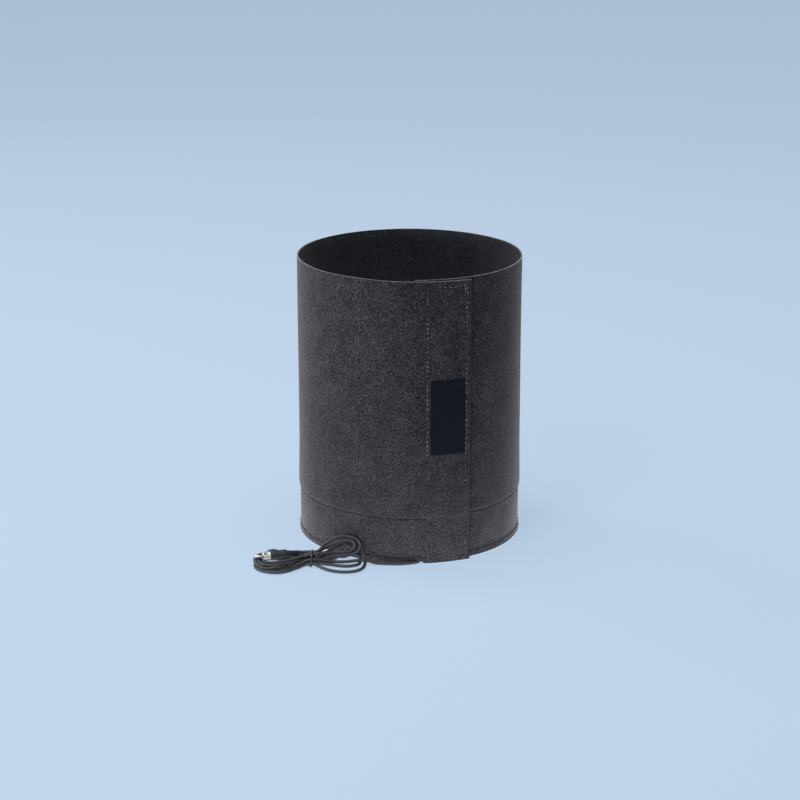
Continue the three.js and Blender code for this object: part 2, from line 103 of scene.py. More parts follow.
def hand_wave(azimuth, height):
    """The sheet is never a true tube: a slow wander that both layers share."""
    a = math.radians(azimuth)
    wander = 0.3 * math.sin(2 * a + 0.6) + 0.2 * math.sin(5 * a + height / 70)
    ripple = 0.1 * math.sin(11 * a - height / 40)
    return (wander + ripple) * smooth(height, 60, 200)


def lead_lift(angle, height):
    """How far the foot rises over the lead that leaves under it."""
    azimuth = (angle + INNER_END_AZIMUTH) % 360
    outer = angle > 180
    centre, reach, rise = (4.3, 3.2, 3.4) if outer else (6.4, 4.2, 7.2)
    near = 1 - smooth(abs(azimuth - centre), reach * 0.25, reach)
    return rise * near * (1 - smooth(height, 0, 16))


def top_height(angle):
    return SHIELD_HEIGHT - 1.2 * smooth(angle, ROLL_END - 60, ROLL_END)


def polar(azimuth, radius, height):
    a = math.radians(azimuth)
    return Vector((radius * math.sin(a), ROLL_CENTRE_Y - radius * math.cos(a), height)) * MM


def on_roll(angle, depth, height):
    azimuth = INNER_END_AZIMUTH + angle
    radius = roll_radius(angle) + foot_offset(height) + hand_wave(azimuth, height) - depth
    return polar(azimuth, radius, height + lead_lift(angle, height))


def angle_at(azimuth):
    return 360 + azimuth - INNER_END_AZIMUTH


# Object helpers
def new_object(name, mesh, slot, *materials):
    obj = bpy.data.objects.new(name, mesh)
    scene.collection.objects.link(obj)
    for material in materials:
        obj.data.materials.append(material)
    if obj.type == "MESH":
        for face in obj.data.polygons:
            face.use_smooth = True
    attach(obj, "root")
    return obj


def mesh_from(bm, name):
    mesh = bpy.data.meshes.new(name)
    bm.to_mesh(mesh)
    bm.free()
    return mesh


def add_modifier(obj, kind, **settings):
    modifier = obj.modifiers.new(kind.lower(), kind)
    for key, value in settings.items():
        setattr(modifier, key, value)
    return modifier


def round_edges(obj, width, angle):
    """Rounds the edges that turn by more than the angle, in degrees."""
    add_modifier(
        obj, "BEVEL", width=width * MM, segments=2, limit_method="ANGLE",
        angle_limit=math.radians(angle),
    )


# Node helpers
class Nodes:
    """The nodes of one material or node group."""

    def __init__(self, tree):
        self.tree = tree

    def add(self, kind, inputs=None, **settings):
        node = self.tree.nodes.new(kind)
        for key, value in settings.items():
            setattr(node, key, value)
        for key, value in (inputs or {}).items():
            self.feed(value, node.inputs[key])
        return node

    def feed(self, value, socket):
        if isinstance(value, bpy.types.NodeSocket):
            self.tree.links.new(value, socket)
        else:
            socket.default_value = value

    def math(self, operation, a, b=0.0):
        return self.add("ShaderNodeMath", {0: a, 1: b}, operation=operation).outputs[0]

    def noise(self, vector, scale, detail=3.0, roughness=0.6):
        values = {"Vector": vector, "Scale": scale, "Detail": detail, "Roughness": roughness}
        return self.add("ShaderNodeTexNoise", values).outputs["Fac"]

    def spread(self, value, low, high, out_low=0.0, out_high=1.0):
        values = {"Value": value, "From Min": low, "From Max": high,
                  "To Min": out_low, "To Max": out_high}
        return self.add("ShaderNodeMapRange", values).outputs["Result"]

    def blend(self, factor, a, b, kind="MIX"):
        node = self.add("ShaderNodeMix", data_type="RGBA", blend_type=kind)
        for value, index in ((factor, 0), (a, 6), (b, 7)):
            self.feed(value, node.inputs[index])
        return node.outputs[2]

    def bump(self, height, strength, distance):
        values = {"Height": height, "Strength": strength, "Distance": distance * MM}
        return self.add("ShaderNodeBump", values).outputs["Normal"]

    def seen_ray(self):
        """1 for the rays that show the background: straight, mirrored or through something."""
        ray = self.add("ShaderNodeLightPath").outputs
        seen = self.math("MAXIMUM", ray["Is Camera Ray"], ray["Is Glossy Ray"])
        return self.math("MAXIMUM", seen, ray["Is Transmission Ray"])

    def coordinates(self, kind="Object"):
        return self.add("ShaderNodeTexCoord").outputs[kind]


def grey(level, tint=(1.0, 1.0, 1.0)):
    return tuple(level * t for t in tint) + (1.0,)


def new_group(name, inputs, outputs):
    tree = bpy.data.node_groups.new(name, "ShaderNodeTree")
    for label, kind, default in inputs:
        socket = tree.interface.new_socket(label, in_out="INPUT", socket_type=kind)
        if default is not None:
            socket.default_value = default
    for label, kind in outputs:
        tree.interface.new_socket(label, in_out="OUTPUT", socket_type=kind)
    nodes = Nodes(tree)
    entry = nodes.add("NodeGroupInput")
    leave = nodes.add("NodeGroupOutput")
    return tree, nodes, entry.outputs, leave.inputs


def make_fibre_grain():
    """Pressed fibres: fine grains, slow blotches and the relief of both."""
    tree, n, given, put = new_group(
        "fibre_grain",
        [("Vector", "NodeSocketVector", None), ("Scale", "NodeSocketFloat", 700.0),
         ("Relief", "NodeSocketFloat", 0.5), ("Spread", "NodeSocketFloat", 0.15)],
        [("Grain", "NodeSocketFloat"), ("Blotch", "NodeSocketFloat"),
         ("Normal", "NodeSocketVector")],
    )
    fine = n.noise(given["Vector"], given["Scale"], 2.0, 0.7)
    coarse = n.noise(given["Vector"], n.math("MULTIPLY", given["Scale"], 0.5), 3.0, 0.7)
    grain = n.math("ADD", n.math("MULTIPLY", fine, 0.55), n.math("MULTIPLY", coarse, 0.45))
    slow = n.noise(given["Vector"], n.math("MULTIPLY", given["Scale"], 0.045), 3.0, 0.6)
    # More of the grain is dark than light, so the light fibres stand out as specks
    low = n.math("SUBTRACT", 0.5, n.math("MULTIPLY", given["Spread"], 0.35))
    high = n.math("ADD", 0.5, n.math("MULTIPLY", given["Spread"], 1.5))
    n.feed(n.spread(grain, low, high), put["Grain"])
    n.feed(n.spread(slow, 0.32, 0.68), put["Blotch"])
    n.feed(n.bump(grain, given["Relief"], 0.5), put["Normal"])
    return tree


def make_plain_weave():
    """Over-and-under threads on the piece's own UV map, in metres."""
    tree, n, given, put = new_group(
        "plain_weave",
        [("Vector", "NodeSocketVector", None), ("Pitch", "NodeSocketFloat", 0.001),
         ("Relief", "NodeSocketFloat", 0.5)],
        [("Thread", "NodeSocketFloat"), ("Normal", "NodeSocketVector")],
    )
    apart = n.add("ShaderNodeSeparateXYZ", {0: given["Vector"]}).outputs
    turn = [n.math("MULTIPLY", n.math("DIVIDE", apart[i], given["Pitch"]), math.pi) for i in (0, 1)]
    across = n.math("ABSOLUTE", n.math("SINE", turn[0]))
    along = n.math("ABSOLUTE", n.math("SINE", turn[1]))
    check = n.math("MULTIPLY", n.math("SINE", turn[0]), n.math("SINE", turn[1]))
    over = n.math("GREATER_THAN", check, 0.0)
    under = n.math("SUBTRACT", 1.0, over)
    height = n.math("ADD", n.math("MULTIPLY", over, across), n.math("MULTIPLY", under, along))
    n.feed(height, put["Thread"])
    n.feed(n.bump(height, given["Relief"], 0.3), put["Normal"])
    return tree


FIBRE_GRAIN = make_fibre_grain()
PLAIN_WEAVE = make_plain_weave()
FOOT_AND_TOP = (0.04, 0.2)


def new_material(name, **sockets):
    """A Principled material: plain numbers go straight onto the shader's sockets."""
    material = bpy.data.materials.new(name)
    material.use_nodes = True
    nodes = Nodes(material.node_tree)
    shader = material.node_tree.nodes["Principled BSDF"]
    for key, value in sockets.items():
        shader.inputs[key.replace("_", " ")].default_value = value
    return material, nodes, shader.inputs


def fibre_material(name, dark, light, scale, relief, rough=(0.75, 0.95), blotch=0.25,
                   contrast=(0.15, 0.15), painted_shadow=None, **sockets):
    """Fibres from dark to light. Contrast is the grain's spread at the foot and at the top. A
    painted shadow
    may be given: between which lengths along the roll, in metres, the colour rises from a dimmer,
    painted shaded level."""
    material, n, shader = new_material(name, **sockets)
    grain = n.add("ShaderNodeGroup", node_tree=FIBRE_GRAIN)
    place = n.coordinates()
    n.feed(place, grain.inputs["Vector"])
    if contrast[0] != contrast[1]:
        height = n.add("ShaderNodeSeparateXYZ", {0: place}).outputs[2]
        n.feed(n.spread(height, *FOOT_AND_TOP, *contrast), grain.inputs["Spread"])
    else:
        grain.inputs["Spread"].default_value = contrast[0]
    grain.inputs["Scale"].default_value = scale
    grain.inputs["Relief"].default_value = relief
    speck = grain.outputs["Grain"]
    colour = n.blend(speck, dark, light)
    level = n.spread(grain.outputs["Blotch"], 0, 1, 1 - blotch, 1 + blotch)
    level = n.add("ShaderNodeCombineColor", {0: level, 1: level, 2: level}).outputs[0]
    colour = n.blend(1.0, colour, level, "MULTIPLY")
    # Painted shadow: the colour is dimmed over a stretch of the roll's length
    if painted_shadow:
        arc = n.add("ShaderNodeSeparateXYZ", {0: n.coordinates("UV")}).outputs[0]
        painted_shadow_level = n.spread(arc, painted_shadow[0], painted_shadow[1], painted_shadow[2], 1.0)
        painted_shadow_level = n.add("ShaderNodeCombineColor", {0: painted_shadow_level, 1: painted_shadow_level, 2: painted_shadow_level}).outputs[0]
        colour = n.blend(1.0, colour, painted_shadow_level, "MULTIPLY")
    n.feed(colour, shader["Base Color"])
    n.feed(n.spread(speck, 0, 1, rough[1], rough[0]), shader["Roughness"])
    n.feed(grain.outputs["Normal"], shader["Normal"])
    return material


def weave_material(name, dark, light, pitch, relief, roughness=0.85, **sockets):
    material, n, shader = new_material(name, Roughness=roughness, **sockets)
    weave = n.add("ShaderNodeGroup", node_tree=PLAIN_WEAVE)
    n.feed(n.coordinates("UV"), weave.inputs["Vector"])
    weave.inputs["Pitch"].default_value = pitch * MM
    weave.inputs["Relief"].default_value = relief
    worn = n.noise(n.coordinates(), 90.0)
    factor = n.math("MULTIPLY", weave.outputs["Thread"], n.spread(worn, 0.3, 0.7, 0.6, 1.0))
    n.feed(n.blend(factor, dark, light), shader["Base Color"])
    n.feed(weave.outputs["Normal"], shader["Normal"])
    return material


def worn_material(name, low, high, scale, relief, rough, **sockets):
    """Smooth moulded or drawn stuff: faint colour change, uneven gloss, a little relief."""
    material, n, shader = new_material(name, **sockets)
    place = n.coordinates()
    mark = n.noise(place, scale, 4.0)
    n.feed(n.blend(n.spread(mark, 0.35, 0.65), low, high), shader["Base Color"])
    n.feed(n.spread(mark, 0.3, 0.7, rough[0], rough[1]), shader["Roughness"])
    n.feed(n.bump(n.noise(place, scale * 6), relief, 0.1), shader["Normal"])
    return material


COOL = (0.98, 0.96, 1.16)
NIGHT = (0.9, 0.95, 1.25)
PLUM = (1.0, 0.90, 1.0)
# Painted shadow beside the flap's edge: the lower layer's colour is darkened where the flap would
# shade it
FLAP_EDGE_PAINTED_SHADOW = (0.0573, 0.0645, 0.3)
# The speckle is the sheet's own grain, but its stronger contrast towards the top (contrast at foot
# and top) is painted glints of the light there
sheet_face = fibre_material(
    "speckled_sheet", grey(0.018, COOL), grey(0.2, COOL), 1150, 0.9, blotch=0.2,
    contrast=(0.22, 0.1), painted_shadow=FLAP_EDGE_PAINTED_SHADOW, Sheen_Weight=0.4, Sheen_Roughness=0.35,
    Specular_IOR_Level=0.1,
)
sheet_edge = fibre_material(
    "cut_sheet_edge", grey(0.36), grey(0.72, (1.02, 1.0, 0.98)), 1400, 0.3,
    Specular_IOR_Level=0.3,
)
felt = fibre_material(
    "black_felt", grey(0.022, NIGHT), grey(0.085, NIGHT), 800, 0.6,
    blotch=0.15, Sheen_Weight=0.15, Sheen_Roughness=0.5, Specular_IOR_Level=0.06,
)
fuzz = fibre_material(
    "loop_pile", grey(0.02), grey(0.06), 1600, 0.9, Sheen_Weight=0.3, Specular_IOR_Level=0.2,
)
pocket_cloth = weave_material(
    "pocket_cloth", grey(0.006, COOL), grey(0.02, COOL), 0.9, 0.6, Sheen_Weight=0.15,
    Specular_IOR_Level=0.25,
)
hook_tape = weave_material("hook_tape", grey(0.015), grey(0.05), 1.4, 0.9)
label_satin = weave_material(
    "label_satin", (0.0035, 0.004, 0.0075, 1), (0.011, 0.012, 0.021, 1), 0.45, 0.35, 0.6,
    Specular_IOR_Level=0.12,
)
# Painted light: one dark shiny thread drawn as two copies. The upper stitches get a lighter,
# painted lit tone, the lower ones a darker copy in painted shade, and both have stronger specks
# towards the top
thread = fibre_material(
    "sewing_thread_painted_lit", grey(0.08), grey(0.62), 170, 0.2, rough=(0.45, 0.7), blotch=0.5,
    contrast=(0.2, 0.09),
)
thread_in_painted_shade = fibre_material(
    "thread_in_painted_shade", grey(0.03), grey(0.2), 170, 0.2, rough=(0.5, 0.7), contrast=(0.2, 0.09),
)
dark_thread = fibre_material(
    "dark_thread", grey(0.002), grey(0.01), 400, 0.2, rough=(0.5, 0.7),
)
jacket = worn_material(
    "cord_jacket", grey(0.036, PLUM), grey(0.052, PLUM), 60, 0.12, (0.3, 0.42),
    Specular_IOR_Level=0.5,
)
tie_coat = worn_material(
    "tie_coating", grey(0.012), grey(0.025), 120, 0.2, (0.2, 0.32), Specular_IOR_Level=0.9,
)
moulded = worn_material(
    "moulded_black", grey(0.016, (1.0, 0.94, 1.0)), grey(0.028, (1.0, 0.94, 1.0)), 140, 0.25,
    (0.38, 0.55), Specular_IOR_Level=0.5,
)
plating = worn_material(
    "warm_plating", (0.80, 0.70, 0.58, 1), (0.88, 0.80, 0.70, 1), 200, 0.1, (0.12, 0.26),
    Metallic=1.0,
)
pale_disc = worn_material("pale_disc", grey(0.62), grey(0.78), 200, 0.1, (0.4, 0.55))

# The heater, the crimps and the cores are the solids themselves
amber = (1.0, 0.66, 0.2)
solid_finishes = {
    "heater_tape": fibre_material("glass_tape", grey(0.3, amber), grey(0.5, amber), 900, 0.5),
    "heater_wire": worn_material("resistance_wire", grey(0.35), grey(0.5), 300, 0.1, (0.25, 0.4),
                                 Metallic=1.0),
    "splice_sleeve_1": worn_material("tinned_crimp", grey(0.5), grey(0.62), 250, 0.2, (0.2, 0.4),
                                     Metallic=1.0),
    "lead_core_1": worn_material("core_sleeve", (0.3, 0.012, 0.01, 1), (0.4, 0.02, 0.015, 1),
                                 150, 0.1, (0.35, 0.5)),
}
solid_finishes["splice_sleeve_2"] = solid_finishes["splice_sleeve_1"]
solid_finishes["lead_core_2"] = solid_finishes["lead_core_1"]
for node, finish in solid_finishes.items():
    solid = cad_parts[node]
    solid.data.materials.clear()
    solid.data.materials.append(finish)

# The lead: out of the pocket, under the sheet, along the foot and through the hank
ENTRY_RADIUS = 113.86
LEAD = 3.5
IN_POCKET = [(7, 0, 16), (7, 0, 11), (6.8, 0.9, 6.2), (6.1, 3.2, 3), (5.1, 6.3, 1.85),
             (3.8, 9.3, 1.8), (2, 11.3, 1.8)]
HANK_ROUTE = [
    (-3, -126.6, 1.8), (-11.1, -127.7, 1.8), (-19.3, -127.8, 1.8), (-27.5, -126.9, 1.8),
    (-35.7, -126, 2), (-43.5, -125.9, 4.3), (-51.6, -126.4, 5.3), (-59.7, -126.7, 4.2),
    (-67.9, -126.9, 3.5), (-76.1, -126.7, 3.4), (-84.3, -126.5, 3.8), (-92.4, -126.5, 5),
    (-100.6, -127.1, 6.1), (-108.5, -128.8, 5.2), (-115.1, -133.3, 3.5), (-120.8, -139, 1.9),
    (-127.1, -144.3, 1.8), (-134.7, -147, 1.8), (-142.8, -146, 1.8), (-149.9, -142.1, 1.8),
    (-155, -135.7, 1.8), (-157.7, -127.9, 1.8), (-157.2, -119.8, 1.8), (-153.6, -112.5, 1.8),
    (-147.5, -107.1, 1.8), (-139.7, -105.3, 1.8), (-131.7, -107.2, 1.8), (-124, -110, 1.8),
    (-116.2, -112.6, 1.8), (-108, -112.3, 1.8), (-100.1, -112.6, 2.6), (-92, -113.1, 1.8),
    (-83.9, -112.2, 2.6), (-76.3, -110.8, 5.5), (-69.1, -110.5, 9.3), (-61.5, -110.9, 12.4),
    (-53.7, -112.6, 11.9), (-48.3, -117.2, 7.9), (-46.6, -123.4, 2.9), (-46.9, -131.4, 1.8),
    (-48.5, -139.4, 1.8), (-52.8, -146.3, 1.8), (-59.9, -150.4, 1.8), (-68, -151.3, 1.8),
    (-76, -149.9, 1.8), (-83.5, -146.4, 1.8), (-89.7, -141.2, 1.8), (-95, -134.9, 1.8),
    (-101.5, -130.2, 2.8), (-109.2, -131.4, 2), (-114.9, -137.3, 1.8), (-120.5, -143.3, 1.8),
    (-126.5, -148.9, 1.8), (-133.8, -152.7, 1.8), (-141.9, -153.1, 1.8), (-149.7, -150.5, 1.8),
    (-156.3, -145.7, 1.8), (-160.4, -138.7, 1.8), (-161.6, -130.6, 1.8), (-161.2, -122.4, 1.8),
    (-159.7, -114.3, 1.8), (-155.9, -107.1, 1.8), (-149, -102.9, 1.8), (-141, -101.7, 1.8),
    (-132.8, -102.5, 1.8), (-124.7, -104.1, 1.8), (-117, -106.7, 2), (-110.2, -110.5, 4.5),
    (-104.2, -115.2, 3.3), (-96.3, -116.5, 1.9), (-88.1, -116.4, 1.8), (-80.1, -114.9, 2.3),
    (-72.7, -113.6, 5.3), (-65.5, -114, 9.3), (-57.7, -115.4, 8.9), (-52.3, -119.9, 5.1),
    (-52.4, -127.2, 1.9), (-58, -133, 1.8), (-65.8, -135, 1.8), (-73.9, -133.8, 1.8),
    (-81.7, -131, 1.8), (-89.4, -128.4, 1.8), (-97.4, -126.6, 2.2), (-105.5, -126.5, 2.6),
    (-113.3, -128.8, 1.8), (-120.1, -133.3, 1.8), (-126, -139, 2.4), (-132.2, -144.1, 4.1),
    (-139.5, -147.7, 5.1), (-147.5, -147.8, 4), (-154.4, -143.6, 3.9), (-159.3, -137.1, 4.7),
    (-162, -129.4, 5), (-162.3, -121.2, 4.8), (-159.8, -113.5, 5), (-154.4, -107.4, 4.8),
    (-146.6, -105.8, 4.9), (-138.9, -108.2, 3.4), (-131.4, -110.9, 1.8), (-123.6, -113.6, 1.8),
    (-115.9, -116.2, 2.1), (-108.2, -117.6, 4.6), (-101.3, -114.5, 6), (-96.8, -107.9, 7.3),
    (-91.6, -103.1, 11.4), (-85.4, -100.8, 16.2), (-78.3, -100.5, 20.3), (-70.7, -102.1, 22.7),
    (-63, -104.8, 23.1), (-55.7, -108.1, 21.3), (-51.7, -113.1, 16.6), (-54.9, -118, 11.4),
    (-62.4, -119.5, 8.6), (-70.6, -119.4, 8), (-78.7, -119.1, 7.4), (-86.8, -119, 5.6),
    (-94.8, -119.1, 4), (-102.9, -120, 4.7), (-110.3, -123.3, 4.8), (-116.9, -128.1, 4.6),
    (-123.2, -133.4, 4.8), (-129.9, -138.2, 4.9), (-137.3, -141.7, 5.3), (-145.3, -143.1, 5.6),
    (-152.9, -140.5, 5.5), (-157.2, -133.6, 5.1), (-158.9, -125.6, 5), (-157.9, -117.5, 5.1),
    (-153.2, -110.9, 5.5), (-146.5, -106.9, 7.9), (-139, -104.8, 6.5), (-131.1, -105.3, 4.5),
    (-123.2, -107.4, 4), (-115.6, -110.4, 4.2), (-110, -115.5, 7.1), (-102.8, -117.6, 9.5),
    (-95.4, -114.7, 11.1), (-89.5, -109.1, 12), (-82.5, -105.5, 14.3), (-74.9, -104.4, 17),
    (-67, -104.7, 19.1), (-59.5, -107.5, 18.8), (-57.6, -114, 15), (-63.5, -117.6, 11.4),
    (-71.6, -116.6, 10.3), (-79.7, -116.6, 9.7), (-87.7, -118.5, 10.1), (-95.5, -120.5, 10.5),
    (-103.4, -122.1, 8.9), (-111.3, -124.2, 8.2), (-118.9, -127.4, 7.7), (-126, -131.4, 6.9),
    (-133.5, -134.6, 6.3), (-141.6, -136.1, 6), (-149.6, -134.8, 5.3), (-154.3, -128.7, 3.5),
    (-153.9, -120.7, 1.9), (-149, -114.6, 1.8), (-141, -114.3, 1.8), (-133, -116.3, 1.8),
    (-125, -117.9, 1.8), (-116.9, -119.6, 1.8), (-109.1, -122, 1.8), (-101.4, -123.1, 4.1),
    (-94.9, -119.8, 7.3), (-89.4, -113.8, 8.4), (-83.8, -107.8, 8.5), (-77.3, -103.3, 10.6),
    (-69.8, -102, 13.3), (-62.9, -105.6, 12.3), (-62, -111.8, 7.7), (-68, -116.4, 5.5),
    (-76.1, -116.4, 5.8), (-84.2, -115.1, 5.3), (-92.3, -114.4, 5.6), (-99.7, -113.5, 9),
    (-107.8, -112.7, 9), (-115.9, -111.8, 8.5),
]
lead_points = [polar(a, ENTRY_RADIUS + r, z) for a, r, z in IN_POCKET]
lead_points += [Vector(p) * MM for p in HANK_ROUTE]


def cord_curve(name, points, diameter, material, slot):
    data = bpy.data.curves.new(name, "CURVE")
    data.dimensions = "3D"
    data.bevel_depth = diameter / 2 * MM
    data.bevel_resolution = 4
    data.resolution_u = 5
    data.use_fill_caps = True
    spline = data.splines.new("BEZIER")
    spline.bezier_points.add(len(points) - 1)
    for knot, point in zip(spline.bezier_points, points):
        knot.co = point
        knot.handle_left_type = knot.handle_right_type = "AUTO"
    return new_object(name, data, slot, material)


lead = cord_curve("lead_cord", lead_points, LEAD, jacket, "cord")
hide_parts("cord_lead", "cord_hank")


# Pieces bent round the roll from a flat grid
def spaced(start, stop, step):
    count = max(1, round((stop - start) / step))
    return [start + (stop - start) * i / count for i in range(count + 1)]


def bent_grid(name, angles, heights, depth, thickness, slot, materials, trim=None):
    """A flat grid laid round the roll, with its arc length and height as UV, then thickened."""
    bm = bmesh.new()
    columns, rows = len(angles) - 1, len(heights) - 1
    bmesh.ops.create_grid(bm, x_segments=columns, y_segments=rows, size=1)
    flat = {}
    for v in bm.verts:
        angle = angles[round((v.co.x + 1) / 2 * columns)]
        height = heights[round((v.co.y + 1) / 2 * rows)]
        if trim:
            height = trim(angle, height)
        v.co = on_roll(angle, depth(angle, height), height)
        flat[v] = (math.radians(angle) * SHEET_RADIUS * MM, height * MM)
    uv = bm.loops.layers.uv.new("UVMap")
    for face in bm.faces:
        for loop in face.loops:
            loop[uv].uv = flat[loop.vert]
    obj = new_object(name, mesh_from(bm, name), slot, *materials)
    add_modifier(
        obj, "SOLIDIFY", thickness=thickness * MM, offset=-1, use_even_offset=False,
        material_offset_rim=1 if len(materials) > 1 else 0,
    )
    return obj


sheet_heights = (
    [0, 0.6, 1.6, 3, 4.3, 4.8, 5.25, 5.75, 6.25, 6.7, 7.4, 8.5]
    + spaced(12, 45, 5)
    + [46.5, 47.6, 48.5, 49, 49.5, 50, 50.5, 51.4, 52.6, 54, 57, 62, 69, 78]
    + spaced(88, 304, 12)
    + [305]
)
sheet_angles = (
    spaced(0, 12, 0.5) + spaced(13, 356, 1) + spaced(357, 372, 0.5) + spaced(373, ROLL_END, 0.9)
)


def sheet_depth(angle, height):
    sewn = 1 - smooth(angle, 363, 366)
    hem = seam_groove(height, HEM_SEAM, 0.4)
    return hem + seam_groove(height, POCKET_SEAM, 0.75) * sewn


def trim_to_top(angle, height):
    drop = SHIELD_HEIGHT - top_height(angle)
    return height - drop * smooth(height, 60, SHIELD_HEIGHT)


sheet = bent_grid(
    "rolled_sheet", sheet_angles, sheet_heights, sheet_depth, SHEET_THICKNESS, "sheet",
    [sheet_face, sheet_edge], trim_to_top,
)
round_edges(sheet, 0.3, angle=60)
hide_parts("shell_sheet")

lining_heights = [1.5, 3.5, 6, 9, 20, 33, 46.5, 50, 54, 60, 69, 85] + spaced(104, 303.5, 16)
LINING_INSET = 0.72
LINING_DEPTH = 1.6
lining = bent_grid(
    "inner_felt", spaced(LINING_INSET, ROLL_END - LINING_INSET, 1.2), lining_heights,
    lambda angle, height: LINING_DEPTH, 0.6, "lining", [felt], trim_to_top,
)
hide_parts("felt_lining")

HOOK_END = ROLL_END - 1.1
HOOK_START = HOOK_END - 23.3
strip_heights = [3, 6, 9, 20, 33, 46.5, 50, 54, 69] + spaced(85, 304, 20)
hook = bent_grid(
    "hook_tape", spaced(HOOK_START, HOOK_END, 1), strip_heights,
    lambda angle, height: SEWN_DEPTH, 0.8, "closure", [hook_tape], trim_to_top,
)
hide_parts("hook_strip")
LOOP_STAND = 1.0
loop = bent_grid(
    "loop_tape", spaced(1.44, 25.9, 1), strip_heights, lambda angle, height: -LOOP_STAND, 0.7,
    "closure", [fuzz],
)
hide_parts("loop_strip")

# The heater pocket, sewn flat along its two seams and swollen between them
POCKET_START = 0.96
POCKET_END = HOOK_START - 0.15
POCKET_ROWS = [(3, 0), (6, 0), (9, 0), (10.2, 0.12), (11.8, 0.6), (13, 0.93), (15, 1), (21, 1.05),
               (27, 1.08), (33, 1.05), (39, 1), (42, 0.93), (44, 0.55), (45.6, 0.12), (46.5, 0),
               (49.5, 0), (52.5, 0)]


def pocket_depth(angle, height):
    opening = smooth(angle, POCKET_START, POCKET_START + 2.4) * (1 - smooth(angle, 342.8, 350))
    stand = 2.2 + 2.2 * (1 - smooth(angle, 17, 21))
    share = dict(POCKET_ROWS)[height]
    pucker = 0.12 * math.sin(math.radians(angle) * 47) * share
    return SEWN_DEPTH + (stand + pucker) * share * opening


pocket = bent_grid(
    "pocket_band", spaced(POCKET_START, POCKET_END, 1), [row[0] for row in POCKET_ROWS],
    pocket_depth, 0.6, "pocket", [pocket_cloth],
)
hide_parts("heater_pocket")

# Bare label on the flap, its edges drawn in by the thread round it
LABEL_AZIMUTH = 18.7
LABEL_HALF = 8.65
label_low, label_high = 119.3, 199.3
label_middle = angle_at(LABEL_AZIMUTH)
label_angles = spaced(label_middle - LABEL_HALF, label_middle + LABEL_HALF, 0.6)


def label_depth(angle, height):
    side = LABEL_HALF - abs(angle - label_middle)
    end = min(height - label_low, label_high - height)
    crown = 0.28 * smooth(side, 0.4, 1.6) * smooth(end, 0.8, 3)
    crease = 0.05 * math.sin(height * 0.23) * math.sin(angle * 0.7)
    return -0.62 - crown - crease


label = bent_grid(
    "bare_label", label_angles,
    [label_low, label_low + 0.8, label_low + 1.8, label_low + 3] + spaced(123.3, 195.3, 3)
    + [label_high - 3, label_high - 1.8, label_high - 0.8, label_high],
    label_depth, 0.45, "label", [label_satin],
)
round_edges(label, 0.16, angle=50)
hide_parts("label")


# Seam threads: one bead of thread for every stitch
def lay_stitch(bm, angle, height, depth, upright, length=2.6, wide=0.8):
    centre = on_roll(angle, depth, height)
    out = centre - on_roll(angle, depth + 1, height)
    out.normalize()
    along = Vector((0, 0, 1)) if upright else Vector((-out.y, out.x, 0)).normalized()
    side = out.cross(along)
    turn = Matrix((along, side, out)).transposed().to_4x4()
    scale = Matrix.Diagonal((length / 2 * MM, wide / 2 * MM, wide * 0.42 * MM, 1))
    bmesh.ops.create_uvsphere(
        bm, u_segments=7, v_segments=6, radius=1,
        matrix=Matrix.Translation(centre) @ turn @ scale,
    )


STITCH_PITCH = 5.0
SEAM_RADIUS = 122.5
# Stitches above this height take the painted lit thread, those below take the copy in painted shade
LIT_THREAD_PAINTED_FROM = 118
FLAP_LEFT = angle_at(8.5)
FLAP_RIGHT = angle_at(27.8)


def degrees_for(length):
    return math.degrees(length / SEAM_RADIUS)


flap_seams = bmesh.new()
foot_seams = bmesh.new()
for column in (FLAP_LEFT, FLAP_RIGHT):
    for height in spaced(8.5, top_height(column) - 8.5, STITCH_PITCH):
        seam = flap_seams if height > LIT_THREAD_PAINTED_FROM else foot_seams
        lay_stitch(seam, column + 0.12 * math.sin(height * 0.7), height, -0.16, True, 2.8, 1.0)
for angle in spaced(FLAP_LEFT + 1.2, FLAP_RIGHT - 1.2, degrees_for(STITCH_PITCH)):
    height = top_height(angle) - 6 + 0.25 * math.sin(angle * 2.1)
    lay_stitch(flap_seams, angle, height, -0.16, False, 3.6, 1.0)
for angle in spaced(FLAP_LEFT + 1.2, ROLL_END - 2, degrees_for(STITCH_PITCH)):
    lay_stitch(foot_seams, angle, HEM_SEAM + 0.2 * math.sin(angle * 3.3), 0.28, False)
for shift in (1.2, 3.1, 5.2):
    height = top_height(FLAP_RIGHT) - 6 - shift
    lay_stitch(flap_seams, FLAP_RIGHT - 0.9, height, -0.1, shift > 3)
stitches = new_object("flap_stitches", mesh_from(flap_seams, "flap_stitches"), "closure", thread)
foot_stitches = new_object(
    "flap_foot_stitches", mesh_from(foot_seams, "flap_foot_stitches"), "closure", thread_in_painted_shade,
)

band_seams = bmesh.new()
for angle in spaced(2, FLAP_LEFT - 1.5, degrees_for(STITCH_PITCH)):
    wobble = 0.15 * math.sin(angle * 1.7)
    lay_stitch(band_seams, angle, HEM_SEAM + wobble, 0.05, False, 3.9, 1.1)
    lay_stitch(band_seams, angle + 0.6, POCKET_SEAM + wobble, 0.25, False, 3.9, 1.1)
band_stitches = new_object(
    "band_stitches", mesh_from(band_seams, "band_stitches"), "pocket", dark_thread,
)

# The plug, turned about its own axis and laid where its solids are
PLUG_TAIL = Vector((-115.9, -111.8, 8.5))
PLUG_HEADING = 197.5
plug_place = (
    Matrix.Translation(PLUG_TAIL * MM)
    @ Matrix.Rotation(math.radians(PLUG_HEADING), 4, "Z")
    @ Matrix.Scale(MM, 4)
)
BOOT_LENGTH = 10.2
NECK_END = 14.2
GRIP_MIDDLE = 22.9
GRIP_END = 32.3
SHELL_MOUTH = 40.3


TURNED_STEPS = 48


